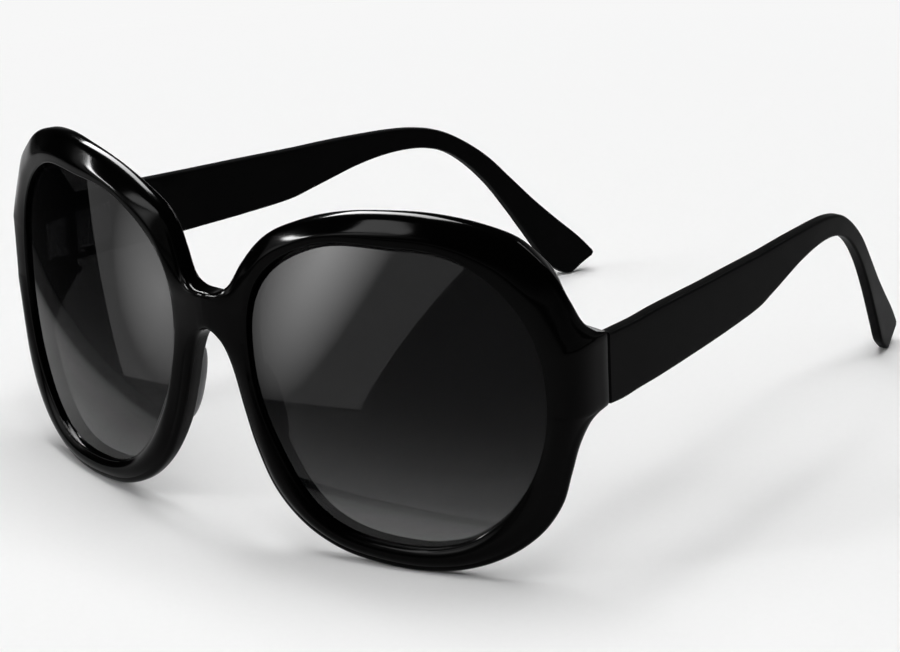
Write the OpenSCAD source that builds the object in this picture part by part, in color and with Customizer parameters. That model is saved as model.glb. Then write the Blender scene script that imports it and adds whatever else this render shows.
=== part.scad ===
// Oversized sunglasses, standing open on the floor: a wrapped front with a sculpted brow,
// two tinted lenses, two nose pads and two temples that fold on three-knuckle hinges.
// Lengths in millimetres, angles in degrees. +Z is up, the front faces -Y and the wearer's left is +X.
// The origin is on the floor, in the middle of the open glasses.

/* [Front] */
// Radius of the upright cylinder that the front and the lenses are wrapped on
wrap_r = 151; // [140:0.5:165]
// Half of the front, along the wrap, from the middle of the bridge to the joint with the temple
front_half = 81; // [80:0.25:83]
// From the lens centre down to the foot of the rim
rim_half = 34.4; // [33.4:0.1:37]
// Thickness of the front round the lenses
front_t = 4.3; // [4:0.1:5.5]
// How far the face stands forward between the lenses' lips and the edge
crown = 0.8; // [0.3:0.05:1.2]
// How far the brow's rear edge lies behind the front face
brow_drop = 2.2; // [1.5:0.1:2.8]
// Extra thickness of the brow at its rear edge
brow_t = 1.7; // [1.2:0.1:2.6]
// Radius of the front edge all round
edge_r = 1.2; // [0.8:0.05:1.4]
// Radius of the rear edge all round
back_r = 0.9; // [0.5:0.05:1.2]
// How far the ends of the front bend back towards the temples
end_sweep = 8; // [7:0.25:9]
// Width of that bend, along the wrap
sweep_w = 7; // [6:0.1:8]
// Extra thickness of the end pieces on their inner side
end_t = 8.2; // [7.8:0.1:9]
// How far the inner rear corner of an end piece lies in from its outer corner
end_in = 5.4; // [5:0.1:6]

/* [Lens openings] */
// From the middle of the bridge to the nose side of a lens opening, along the wrap
lens_in = 9.8; // [9.4:0.1:10.4]
// Width of the front beyond a lens opening, at the temple side
end_w = 11.2; // [10.8:0.1:12]
// Width of the rim below a lens opening
foot_w = 4.4; // [4:0.1:5.2]
// Thickness of the lip in front of a lens
lip_t = 1; // [0.8:0.05:1.2]
// Radius of the lip's edges
lip_r = 0.35; // [0.2:0.05:0.5]
// Depth of the groove that holds a lens
groove = 1.1; // [0.9:0.05:1.2]
// Thickness of a lens
lens_t = 1.9; // [1.6:0.05:2.1]
// Gap in front of a lens and behind it
lens_gap = 0.04; // [0.03:0.01:0.1]
// Gap round the edge of a lens
lens_edge = 0.25; // [0.22:0.01:0.35]

/* [Temples] */
// How far the joint plane between front and temples lies in front of the front's rearmost corner
joint_in = 0.09; // [0.05:0.01:0.4]
// Gap between an end piece and its temple
joint_gap = 0.3; // [0.3:0.05:0.5]
// How far a temple's outer face lies in from that corner
temple_set = 0.08; // [0:0.01:0.4]
// How far the temples lean in at their tips
lean = 30.4; // [27:0.2:33]
// Length of the open temples, front to back
reach = 132; // [125:0.1:145]
// Thickness of a temple along the blade
temple_t = 2.6; // [2.4:0.05:3.5]
// Thickness of a temple at the joint, below its top edge
butt_t = 6.6; // [6.3:0.1:7]
// How far below the top edge, and above the bottom edge, that thickness begins
butt_fall = 2; // [1.5:0.1:2.4]
// Radius of a temple's long edges
temple_r = 0.6; // [0.3:0.05:0.9]
// Bevel round a temple's front end
bevel = 0.5; // [0.2:0.05:0.8]

/* [Hinges] */
// From a temple's outer face in to the hinge axis
axis_in = 7.4; // [7.1:0.05:7.8]
// How far a hinge's middle lies below the middle of the end piece
hinge_drop = 0.1; // [0:0.05:0.5]
// Height of a hinge
hinge_h = 7.8; // [7.4:0.1:8.4]
// Height of the middle knuckle, which belongs to the temple
knuckle_h = 2.4; // [2:0.1:2.8]
// Radius of the knuckles
knuckle_r = 1.3; // [1.2:0.02:1.34]
// Gap between knuckles, end to end
knuckle_gap = 0.08; // [0.05:0.01:0.12]
// Thickness of a hinge leaf
leaf_t = 1; // [0.9:0.05:1.1]
// From the hinge axis out to the inner face of the leaves
leaf_in = 0.6; // [0.5:0.05:0.7]
// Length of the leaf on the front, from the joint plane
front_leaf = 7.2; // [6.8:0.1:7.4]
// Length of the leaf on a temple, from the joint plane
temple_leaf = 10.4; // [9.8:0.1:11.4]
// Room kept round a moving knuckle
knuckle_room = 0.35; // [0.3:0.05:0.45]
// Gap round a leaf in its recess
leaf_gap = 0.05; // [0.03:0.01:0.08]

/* [Screws] */
// Shank radius of a hinge screw
pin_r = 0.6; // [0.5:0.02:0.64]
// Radial clearance of that screw in the knuckles
pin_gap = 0.03; // [0.02:0.01:0.05]
// Head radius of a hinge screw
pin_head_r = 0.9; // [0.8:0.02:0.96]
// Head height of a hinge screw
pin_head_h = 0.6; // [0.4:0.05:0.8]
// Shank radius of a leaf screw
screw_r = 0.45; // [0.36:0.02:0.5]
// Head radius of a leaf screw
screw_head_r = 0.85; // [0.75:0.02:0.95]
// Head height of a leaf screw
screw_head_h = 0.5; // [0.4:0.05:0.6]
// Length of a leaf screw under its head
screw_l = 2.2; // [1.8:0.1:2.4]
// Radial clearance of a leaf screw
screw_gap = 0.02; // [0.01:0.01:0.05]
// Height of the leaf screws above and below the hinge's middle
screw_dz = 2.4; // [2.2:0.05:2.6]
// Width and depth of a screw slot
slot = 0.25; // [0.2:0.01:0.3]

/* [Core wires] */
// Radius of the wire inside a temple
wire_r = 0.7; // [0.5:0.05:0.8]
// Radial clearance of the wire in its bore
wire_gap = 0.03; // [0.02:0.01:0.05]
// Length of the wire, front to back
wire_l = 70; // [50:0.5:74]
// From the temple's outer face to the wire's middle, at the joint
wire_in = 1.8; // [1.6:0.05:2]

/* [Nose pads] */
// How far a pad stands back behind the rim
pad_deep = 3.4; // [2.8:0.1:4]
// Width of a pad where it is bonded to the rim
pad_w = 2.6; // [2.2:0.1:2.8]
// Top of a pad, below the lens centre
pad_top = 0.5; // [0:0.1:1.5]
// Height of a pad
pad_h = 16; // [14:0.1:17]
// How far a pad's foot lies in from the rim's edge
pad_in = 0.6; // [0.4:0.05:0.8]
// Bond line between pad and rim
pad_gap = 0.03; // [0.02:0.01:0.05]

/* [Hidden] */
// Overrun of every cut
over = 0.5;
// Longest step between sections round the rim, and along a temple
rim_step = 4;
temple_step = 4.6;
// Share of a circle that one side of a lens outline takes
lens_sides = 72;

// Rim outline of the +X half, from the bridge's top over the brow and the end piece, round the foot
// and up to the bridge's underside: along the wrap (of front_half), up (of rim_half), brow
// (of brow_drop), rear thickness (of brow_t), end piece (of end_t)
rim_share = [
    [0, 0.38, -0.25, -0.4, 0], [0.03, 0.386, -0.25, -0.5, 0], [0.063, 0.43, 0, -0.5, 0],
    [0.095, 0.56, 0.3, -0.2, 0], [0.13, 0.675, 0.65, 0.2, 0], [0.174, 0.76, 0.8, 0.45, 0],
    [0.235, 0.828, 0.85, 0.45, 0], [0.312, 0.893, 0.9, 0.4, 0], [0.4, 0.94, 0.93, 0.4, 0],
    [0.495, 0.964, 0.95, 0.5, 0], [0.586, 0.969, 0.97, 0.7, 0], [0.672, 0.95, 1, 0.87, 0],
    [0.744, 0.915, 1, 0.97, 0], [0.807, 0.861, 0.85, 1, 0.05], [0.857, 0.775, 0.7, 0.9, 0.1],
    [0.9, 0.674, 0.5, 0.75, 0.25], [0.93, 0.55, 0.38, 0.6, 0.5], [0.953, 0.437, 0.22, 0.4, 0.8],
    [0.978, 0.365, 0.08, 0.15, 1], [0.994, 0.343, 0, 0, 1], [1, 0.33, 0, 0, 1], [1, 0.22, 0, 0, 1],
    [1, 0.07, 0, 0, 1], [1, -0.05, 0, 0, 1], [0.994, -0.065, 0, 0, 1], [0.981, -0.075, 0, 0, 1],
    [0.963, -0.115, 0, 0, 0.8], [0.942, -0.222, 0, 0, 0.5], [0.924, -0.373, 0, 0, 0.2],
    [0.9, -0.555, 0, 0, 0.05], [0.85, -0.725, 0, -0.3, 0], [0.772, -0.865, 0, -0.6, 0],
    [0.675, -0.96, 0, -0.8, 0], [0.568, -1, 0, -0.9, 0], [0.457, -0.993, 0, -0.9, 0],
    [0.349, -0.95, 0, -0.9, 0], [0.252, -0.845, 0, -0.9, 0], [0.175, -0.678, 0, -0.7, 0],
    [0.125, -0.462, 0, -0.1, 0],
    [0.092, -0.241, 0, 0, 0], [0.068, -0.04, 0, 0, 0], [0.046, 0.082, 0, 0, 0],
    [0.024, 0.138, 0, 0, 0], [0, 0.162, 0, 0, 0]];
// Top and bottom of the end piece at the joint, as in those rows (of rim_half)
end_share = [0.33, -0.05];
// Sections across the middle of the bridge, from its underside up (of rim_half)
bridge_share = [0.172, 0.19, 0.225, 0.27, 0.31, 0.345, 0.363];
// Lens opening: radius every 30 degrees from the temple side, anticlockwise on the +X lens (of its
// half-width and half-height)
lens_share = [1.03, 1.04, 1, 0.915, 0.995, 1.07, 0.99, 0.945, 0.995, 0.99, 1.045, 1.04];
// The brow's ridge, from the edge's round in to the lip, and how soft it is
ridge_share = 0.62;
soft_share = 0.2;
// Section nodes on the front face, from the lip out to the round of the edge
face_share = [0.84, ridge_share, 0.46, 0.24, 0];
// Section nodes over the edge's round, of edge_r
edge_share = [0.5, 0.14, 0];
// Section nodes on the rear face, from the rear edge in to the lip, and over that edge, of back_r
rear_share = [0.75, 0.5, 0.25];

// Temple: edge points along the top (y, z) and the bottom (y, z), y as a share of reach and z as a
// share of rim_half, and how much of the joint's extra thickness is left
temple_share = [
    [0, 0.33, 0, -0.065, 1], [0.04, 0.32, 0.04, -0.08, 0.82], [0.08, 0.31, 0.08, -0.08, 0.55],
    [0.14, 0.305, 0.14, -0.085, 0.2], [0.24, 0.285, 0.24, -0.085, 0], [0.35, 0.265, 0.34, -0.08, 0],
    [0.455, 0.245, 0.435, -0.065, 0], [0.5, 0.24, 0.475, -0.035, 0], [0.545, 0.233, 0.523, 0.005, 0],
    [0.59, 0.223, 0.567, 0.04, 0], [0.637, 0.21, 0.617, 0.062, 0], [0.682, 0.187, 0.662, 0.063, 0],
    [0.728, 0.137, 0.702, 0.04, 0], [0.771, 0.04, 0.741, -0.018, 0], [0.815, -0.1, 0.778, -0.127, 0],
    [0.856, -0.278, 0.816, -0.29, 0], [0.897, -0.46, 0.849, -0.475, 0], [0.938, -0.625, 0.877, -0.65, 0],
    [0.973, -0.76, 0.902, -0.81, 0], [0.994, -0.856, 0.92, -0.92, 0], [1, -0.89, 0.94, -0.98, 0],
    [0.995, -0.92, 0.956, -1.02, 0]];
// Plan of a temple's outer face: y of reach, lean of lean
plan_share = [[0, 0], [0.165, 0.118], [0.352, 0.257], [0.502, 0.375], [0.615, 0.474], [0.69, 0.55],
    [0.765, 0.638], [0.84, 0.745], [0.915, 0.865], [1, 1]];
// Where the leaf screws sit along each leaf
front_screw_share = [0.42, 0.78];
temple_screw_share = [0.5, 0.82];
// Nose pad: half-width, depth and lean of its rear end along its height
pad_share = [[0.02, 0.4], [0.08, 0.66], [0.2, 0.88], [0.35, 0.98], [0.5, 1], [0.65, 0.98], [0.8, 0.88],
    [0.92, 0.66], [0.98, 0.4]];
// Nose pad's section: across (of pad_w, from the nose outwards), back (of pad_deep)
pad_ring_share = [[0, 0], [0.05, 0.24], [0.19, 0.5], [0.44, 0.76], [0.8, 0.95], [1.15, 1],
    [1.37, 0.85], [1.36, 0.56], [1.2, 0.27], [1, 0]];

// Curves through a table's rows, in which each tangent keeps to the spacing of its own rows
function gap_to(a, b) = norm([a[0] - b[0], a[1] - b[1]]);
function tangent(a, b, c) = (c - a) / (gap_to(a, b) + gap_to(b, c));
function blend(p, q, m, n, t) = let (t2 = t * t, t3 = t2 * t)
    p * (2 * t3 - 3 * t2 + 1) + m * (t3 - 2 * t2 + t) + q * (3 * t2 - 2 * t3) + n * (t3 - t2);
// The first and last rows only set the end tangents
function curve(T, step) = let (n = len(T)) concat(
    [for (i = [1:n - 3]) let (l = gap_to(T[i], T[i + 1]), k = ceil(l / step),
        m = tangent(T[i - 1], T[i], T[i + 1]) * l, q = tangent(T[i], T[i + 1], T[i + 2]) * l)
        for (j = [0:k - 1]) blend(T[i], T[i + 1], m, q, j / k)],
    [T[n - 2]]);
function ends(T) = concat([T[0] * 2 - T[1]], T, [T[len(T) - 1] * 2 - T[len(T) - 2]]);
function row_at(T, x) = max([for (k = [0:len(T) - 2]) if (k == 0 || T[k][0] <= x) k]);
function look_up(T, x) = let (i = row_at(T, x), t = (x - T[i][0]) / (T[i + 1][0] - T[i][0]))
    T[i][1] * (1 - t) + T[i + 1][1] * t;
function smooth(x) = let (t = min(max(x, 0), 1)) t * t * (3 - 2 * t);

// Half a rim, [along, up, brow, rear, end] at each section
rim_rows = [for (r = rim_share) [r[0] * front_half, r[1] * rim_half, r[2], r[3], r[4]]];
function flip(r) = [-r[0], r[1], r[2], r[3], r[4]];
rim = [for (r = curve(concat([flip(rim_rows[1])], rim_rows, [flip(rim_rows[len(rim_rows) - 2])]), rim_step))
    concat(r, [0])];
// Sections at the bridge's middle, whose last value is how far the face is level there
bridge = let (n = len(bridge_share)) [for (i = [0:n - 1]) let (t = (i + 1) / (n + 1))
    [0, bridge_share[i] * rim_half, t * rim_share[0][2], t * rim_share[0][3], 0, smooth(4 * min(t, 1 - t))]];
stations = concat(rim, bridge);
foot = -min([for (p = rim) p[1]]);

// A lens opening lies between the nose side, the end piece and the foot of its rim
lens_c = (lens_in + front_half - end_w) / 2;
lens_u = (front_half - end_w - lens_in) / 2;
lens_v = rim_half - foot_w;
// Its radius at an angle
function lens_at(a) = let (x = (a + 360) % 360 / 30, i = floor(x), t = x - i,
    v = [for (k = [-1:2]) lens_share[(i + k + 12) % 12]])
    norm([lens_u * cos(a), lens_v * sin(a)]) * blend(v[1], v[2], (v[2] - v[0]) / 2, (v[3] - v[1]) / 2, t);

// Heights of the front's surfaces over the wrap
function off_seg(p, a, b) = let (d = b - a, t = min(max((p - a) * d / (d * d), 0), 1)) norm(p - a - d * t);
function off_line(p, L) = min([for (i = [0:len(L) - 2]) off_seg(p, L[i], L[i + 1])]);
function round_off(d, r) = d >= r ? 0 : r - sqrt(r * r - (r - d) * (r - d));
function sweep(u) = let (t = max(0, u - front_half + sweep_w) / sweep_w) end_sweep * t * t;
function dome(q, s) = crown * (1 - min(max(s[2], 0), 1)) * (4 * q * (1 - q) * (1 - s[5]) + (1 - q * q) * s[5]);
function brow(q) = let (t = (ridge_share - q) / ridge_share, s = soft_share)
    (t + sqrt(t * t + s * s)) / (1 + sqrt(1 + s * s));
front_line = [for (p = rim) [p[0], p[1]]];
rear_line = [for (p = rim) [p[0] - end_in * p[4], p[1]]];
lens_slot = lens_t + 2 * lens_gap;

// One section of the front, from the groove's front corner over the face and back to the groove
function section(s) = let (
    a = atan2(s[1], s[0] - lens_c), e = [cos(a), sin(a)], c = [lens_c, 0], r0 = lens_at(a),
    inner = c + e * r0, outer = [s[0], s[1]], rear = [s[0] - end_in * s[4], s[1]],
    lip = inner + e * lip_r, dir_f = (outer - lip) / norm(outer - lip), len_f = norm(outer - lip) - edge_r,
    dir_b = (rear - lip) / norm(rear - lip), len_b = norm(rear - lip) - back_r,
    extra = brow_t * s[3] + end_t * s[4])
    concat(
        [[c + e * (r0 + groove), -lip_t], [inner, -lip_t], [inner, -lip_r], [lip, 0]],
        [for (q = face_share) let (p = outer - dir_f * (edge_r + len_f * q))
            [p, dome(q, s) - brow_drop * s[2] * brow(q)
                - round_off(off_line(p, front_line), edge_r) - sweep(p[0])]],
        [for (q = edge_share) let (p = outer - dir_f * edge_r * q)
            [p, dome(0, s) - brow_drop * s[2] * brow(-edge_r * (1 - q) / len_f)
                - round_off(off_line(p, front_line), edge_r) - sweep(p[0])]],
        [for (q = [0, 0.3, 1]) let (p = rear - dir_b * back_r * q)
            [p, -front_t - extra + round_off(off_line(p, rear_line), back_r) - sweep(p[0])]],
        [for (q = rear_share) let (p = lip + dir_b * len_b * q)
            [p, -front_t - extra * smooth((q - 0.1) / 0.9)
                + round_off(off_line(p, rear_line), back_r) - sweep(p[0])]],
        [[lip, -front_t], [inner, lip_r - front_t], [inner, -lip_t - lens_slot],
            [c + e * (r0 + groove), -lip_t - lens_slot]]);
function wrap(p, w) = let (a = p[0] / wrap_r * 180 / PI)
    [(wrap_r + w) * sin(a), wrap_r - (wrap_r + w) * cos(a), p[1]];

// The front's rearmost corner sets the joint plane, the temples and the hinges
corner = wrap([front_half, 0], -end_sweep);
joint_y = corner[1] - joint_in;
temple_x = corner[0] - temple_set;
axis_x = temple_x - axis_in;
hinge_z = rim_half * (end_share[0] + end_share[1]) / 2 - hinge_drop;

grid = [for (s = stations) [for (n = section(s)) wrap(n[0], n[1])]];
count = len(stations);
nodes_n = len(grid[0]);
// The last node of the front face: between it and the next lies the side, which the bridge's middle lacks
side_n = 4 + len(face_share) + len(edge_share) - 1;
half_faces = [for (i = [0:count - 1], j = [0:nodes_n - 1]) let (
    i2 = (i + 1) % count, j2 = (j + 1) % nodes_n,
    a = i * nodes_n + j, b = i2 * nodes_n + j, c = i2 * nodes_n + j2, d = i * nodes_n + j2)
    if (!(j == side_n && i >= len(rim) - 1)) each [[a, c, b], [a, d, c]]];
flat_points = [for (g = grid, p = g) p];
total = len(flat_points);
front_y = min([for (p = flat_points) p[1]]);
on_middle = [for (i = [0:count - 1], j = [0:nodes_n - 1])
    (i == 0 || i >= len(rim) - 1) && (j == side_n || j == side_n + 1)];
function other(i) = on_middle[i] ? i : i + total;

module front_body() {
    polyhedron(
        points = concat(flat_points, [for (p = flat_points) [-p[0], p[1], p[2]]]),
        faces = concat(half_faces, [for (f = half_faces) [other(f[2]), other(f[1]), other(f[0])]]));
}

// Places everything on the floor, with the open glasses' middle at the origin
module place() {
    translate([0, -(front_y + back_y) / 2, foot]) children();
}
module side(right) {
    if (right) mirror([1, 0, 0]) children();
    else children();
}

// Hinge: the axis, and the leaves from their inner face out
axis_y = joint_y + joint_gap / 2;
leaf_x = axis_x + leaf_in;
mid_r = knuckle_r + knuckle_room;
module leaf_box(y0, y1, grow) {
    translate([leaf_x - over - leaf_t * 3, y0, hinge_z - hinge_h / 2 - grow])
        cube([over + leaf_t * 4 + leaf_gap, y1 - y0, hinge_h + 2 * grow]);
}
function front_screw_y(s) = joint_y - front_leaf * s;
function temple_screw_y(s) = joint_y + temple_leaf * s;
module screw_hole(y, z, long) {
    translate([leaf_x - over, y, z]) rotate([0, 90, 0])
        cylinder(r = screw_r + screw_gap, h = over + screw_head_h + long + screw_gap, $fn = 32);
    translate([leaf_x - over, y, z]) rotate([0, 90, 0])
        cylinder(r = screw_head_r + screw_gap, h = over + screw_head_h, $fn = 32);
}
module leaf_screw(y, z) {
    difference() {
        union() {
            translate([leaf_x, y, z]) rotate([0, 90, 0])
                cylinder(r = screw_head_r, h = screw_head_h, $fn = 32);
            translate([leaf_x + screw_head_h, y, z]) rotate([0, 90, 0])
                cylinder(r = screw_r, h = screw_l, $fn = 32);
        }
        translate([leaf_x - over, y - screw_head_r - over, z - slot / 2])
            cube([over + slot, 2 * (screw_head_r + over), slot]);
    }
}
module front_screws() {
    leaf_screw(front_screw_y(front_screw_share[0]), hinge_z - screw_dz);
    leaf_screw(front_screw_y(front_screw_share[1]), hinge_z + screw_dz);
}
module temple_screws() {
    leaf_screw(temple_screw_y(temple_screw_share[0]), hinge_z + screw_dz);
    leaf_screw(temple_screw_y(temple_screw_share[1]), hinge_z - screw_dz);
}
module front_screw_holes() {
    screw_hole(front_screw_y(front_screw_share[0]), hinge_z - screw_dz, screw_l);
    screw_hole(front_screw_y(front_screw_share[1]), hinge_z + screw_dz, screw_l);
}
module temple_screw_holes() {
    screw_hole(temple_screw_y(temple_screw_share[0]), hinge_z + screw_dz, screw_l);
    screw_hole(temple_screw_y(temple_screw_share[1]), hinge_z - screw_dz, screw_l);
}

module front_frame() {
    color([0.02, 0.02, 0.022]) place() difference() {
        front_body();
        translate([-front_half, joint_y, -rim_half]) cube([2 * front_half, end_sweep, 2 * rim_half]);
        for (s = [false, true]) side(s) {
            leaf_box(joint_y - front_leaf - leaf_gap, joint_y + over, leaf_gap);
            front_screw_holes();
        }
    }
}

// Lens: a panel of the wrap's own cylinder, cut to the outline of its opening
lens_w0 = -lip_t - lens_gap;
lens_turn = lens_c / wrap_r * 180 / PI;
lens_span = 2 * (lens_u * max(lens_share) + groove) / wrap_r * 180 / PI;
module lens() {
    color([0.12, 0.12, 0.13, 0.85]) place() translate([0, wrap_r, 0]) rotate([0, 0, lens_turn])
        intersection() {
            rotate([0, 0, -90 - lens_span / 2]) rotate_extrude(angle = lens_span, $fn = 360)
                translate([wrap_r + lens_w0 - lens_t, -rim_half]) square([lens_t, 2 * rim_half]);
            rotate([90, 0, 0]) linear_extrude(wrap_r + over) polygon([for (k = [0:lens_sides - 1])
                let (a = k * 360 / lens_sides, r = lens_at(a) + groove - lens_edge)
                [(wrap_r + lens_w0 - lens_t / 2) * sin(r * cos(a) / wrap_r * 180 / PI), r * sin(a)]]);
        }
}

// Nose pad: bonded to the back of the rim beside the nose, on the rim's own inner edge
nose_line = [for (p = rim) if (p[0] < lens_c / 2 && p[1] < rim[len(rim) - 1][1]) [p[1], p[0]]];
pad_rings = [for (s = pad_share) let (v = -pad_top - pad_h * s[0], u0 = look_up(nose_line, v) + pad_in)
    [for (q = pad_ring_share) wrap([u0 + pad_w * (q[0] * s[1] + (1 - s[1]) / 2), v],
        -front_t - pad_gap - pad_deep * q[1] * s[1])]];
module nose_pad() {
    n = len(pad_ring_share);
    m = len(pad_share);
    color([0.16, 0.16, 0.17]) place() polyhedron(
        points = [for (g = pad_rings, p = g) p],
        faces = concat(
            [for (i = [0:m - 2], j = [0:n - 1]) let (j2 = (j + 1) % n, a = i * n + j, b = (i + 1) * n + j,
                c = (i + 1) * n + j2, d = i * n + j2) each [[a, b, c], [a, c, d]]],
            [[for (j = [0:n - 1]) j], [for (j = [0:n - 1]) (m - 1) * n + n - 1 - j]]));
}

// Temple: rings from the top edge to the bottom edge, with round long edges
plan = curve(ends([for (r = plan_share) [r[0] * reach, r[1] * lean]]), temple_step);
function temple_out(y) = temple_x - look_up(plan, y - joint_y);
temple_rows = curve(ends([for (r = temple_share)
    [r[0] * reach, r[1] * rim_half, r[2] * reach, r[3] * rim_half, r[4]]]), temple_step);
temple_y0 = joint_y + joint_gap;
// A ring's nodes across the top edge, from the outer face in: [in from that face, down]
function temple_ring(y1, z1, y0, z0, t, r, cut) = let (
    up = [y1 - y0, z1 - z0], h = norm(up), e = up / h, k = r * 0.3, thin = min(t, temple_t),
    across = [[cut, r], [cut + k, k], [cut + r, 0], [thin - cut - r, 0], [thin - cut - k, k],
        [thin - cut, r], [t - cut, r + k + butt_fall * (t - thin) / (butt_t - temple_t)]], n = len(across))
    [for (j = [0:2 * n - 1]) let (c = across[j < n ? j : 2 * n - 1 - j], d = cut + c[1],
        s = j < n ? h - d : d, y = y0 + e[0] * s, z = z0 + e[1] * s)
        [temple_out(y) - c[0], y, z]];
temple_rings = [for (i = [0:len(temple_rows) - 1]) let (s = temple_rows[i],
    t = temple_t + (butt_t - temple_t) * s[4],
    y1 = max(s[0] + joint_y, temple_y0), y0 = max(s[2] + joint_y, temple_y0), last = len(temple_rows) - 1)
    each (i == 0 ? [temple_ring(y1, s[1], y0, s[3], t, temple_r, bevel),
            temple_ring(y1 + bevel, s[1], y0 + bevel, s[3], t, temple_r, 0)]
        : i == last ? [temple_ring(y1, s[1], y0, s[3], t, temple_r, temple_r)]
        : [temple_ring(y1, s[1], y0, s[3], t, temple_r, 0)])];
// What lies below the lens centres is stretched until the tip stands on the floor with the rims
hook = foot / -min([for (g = temple_rings, p = g) p[2]]);
back_y = max([for (g = temple_rings, p = g) p[1]]);
module temple_body() {
    m = len(temple_rings);
    n = len(temple_rings[0]);
    polyhedron(
        points = [for (g = temple_rings, p = g) [p[0], p[1], p[2] < 0 ? p[2] * hook : p[2]]],
        faces = concat(
            [for (i = [0:m - 2], j = [0:n - 1]) let (j2 = (j + 1) % n, a = i * n + j, b = (i + 1) * n + j,
                c = (i + 1) * n + j2, d = i * n + j2) each [[a, c, b], [a, d, c]]],
            [[for (j = [0:n - 1]) n - 1 - j], [for (j = [0:n - 1]) (m - 1) * n + j]]));
}

// Core wire: straight, from the temple's front end back into the blade
wire_x0 = temple_x - wire_in;
wire_y1 = temple_y0 + wire_l;
wire_x1 = temple_out(wire_y1) - temple_t / 2;
wire_turn = atan2(wire_x0 - wire_x1, wire_l);
module wire(r, lead, tail) {
    translate([wire_x0, temple_y0, hinge_z]) rotate([0, 0, wire_turn]) rotate([-90, 0, 0])
        translate([0, 0, -lead]) cylinder(r = r, h = lead + wire_l / cos(wire_turn) + tail, $fn = 32);
}
module temple() {
    color([0.02, 0.02, 0.022]) place() difference() {
        temple_body();
        leaf_box(joint_y, joint_y + temple_leaf + leaf_gap, leaf_gap);
        leaf_box(joint_y, axis_y + mid_r, knuckle_room);
        temple_screw_holes();
        wire(wire_r + wire_gap, over, wire_gap);
    }
}
module core_wire() {
    color([0.7, 0.7, 0.72]) place() difference() {
        wire(wire_r, over, 0);
        translate([0, joint_y - reach, -rim_half]) cube([2 * temple_x, reach + joint_gap, 2 * rim_half]);
    }
}

module knuckle(z0, h) {
    translate([axis_x, axis_y, hinge_z + z0]) cylinder(r = knuckle_r, h = h, $fn = 48);
}
module room(z0, h) {
    translate([axis_x, axis_y, hinge_z + z0]) cylinder(r = mid_r, h = h, $fn = 48);
}
outer_z = knuckle_h / 2 + knuckle_gap;
module pin_hole(head) {
    translate([axis_x, axis_y, hinge_z - hinge_h / 2 - over])
        cylinder(r = pin_r + pin_gap, h = hinge_h + 2 * over, $fn = 48);
    if (head) translate([axis_x, axis_y, hinge_z + hinge_h / 2 - pin_head_h])
        cylinder(r = pin_head_r + pin_gap, h = pin_head_h + over, $fn = 48);
}
module front_hinge() {
    color([0.75, 0.75, 0.77]) place() difference() {
        union() {
            difference() {
                translate([leaf_x, joint_y - front_leaf, hinge_z - hinge_h / 2])
                    cube([leaf_t, front_leaf - leaf_in, hinge_h]);
                room(-outer_z, 2 * outer_z);
            }
            for (z = [outer_z, -hinge_h / 2]) knuckle(z, hinge_h / 2 - outer_z);
        }
        pin_hole(true);
        front_screw_holes();
    }
}
module temple_hinge() {
    color([0.75, 0.75, 0.77]) place() difference() {
        union() {
            difference() {
                translate([leaf_x, temple_y0, hinge_z - hinge_h / 2])
                    cube([leaf_t, temple_leaf - joint_gap, hinge_h]);
                room(knuckle_h / 2, hinge_h);
                room(-knuckle_h / 2 - hinge_h, hinge_h);
            }
            knuckle(-knuckle_h / 2, knuckle_h);
        }
        pin_hole(false);
        temple_screw_holes();
    }
}
module hinge_screw() {
    color([0.8, 0.8, 0.82]) place() translate([axis_x, axis_y, hinge_z]) difference() {
        union() {
            translate([0, 0, -hinge_h / 2]) cylinder(r = pin_r, h = hinge_h - pin_head_h, $fn = 48);
            translate([0, 0, hinge_h / 2 - pin_head_h]) cylinder(r = pin_head_r, h = pin_head_h, $fn = 48);
        }
        translate([-pin_head_r - over, -slot / 2, hinge_h / 2 - slot])
            cube([2 * (pin_head_r + over), slot, slot + over]);
    }
}
module front_leaf_screws() {
    color([0.8, 0.8, 0.82]) place() front_screws();
}
module temple_leaf_screws() {
    color([0.8, 0.8, 0.82]) place() temple_screws();
}

front_frame();
lens();  // left_lens
side(true) lens();  // right_lens
nose_pad();  // left_nose_pad
side(true) nose_pad();  // right_nose_pad
temple();  // left_temple
side(true) temple();  // right_temple
core_wire();  // left_core_wire
side(true) core_wire();  // right_core_wire
front_hinge();  // left_front_hinge
side(true) front_hinge();  // right_front_hinge
temple_hinge();  // left_temple_hinge
side(true) temple_hinge();  // right_temple_hinge
hinge_screw();  // left_hinge_screw
side(true) hinge_screw();  // right_hinge_screw
front_leaf_screws();  // left_front_leaf_screws
side(true) front_leaf_screws();  // right_front_leaf_screws
temple_leaf_screws();  // left_temple_leaf_screws
side(true) temple_leaf_screws();  // right_temple_leaf_screws
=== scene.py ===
"""Oversized sunglasses, standing open on a pale floor under soft studio light.

Shapes follow the CAD's own rules (all lengths in millimetres until mesh_object), only with finer
steps, so that the gloss runs smoothly. Hinges, screws and core wires are the CAD nodes themselves.
"""

import math

import bmesh
import bpy
import numpy as np
from mathutils import Matrix, Vector


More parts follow.
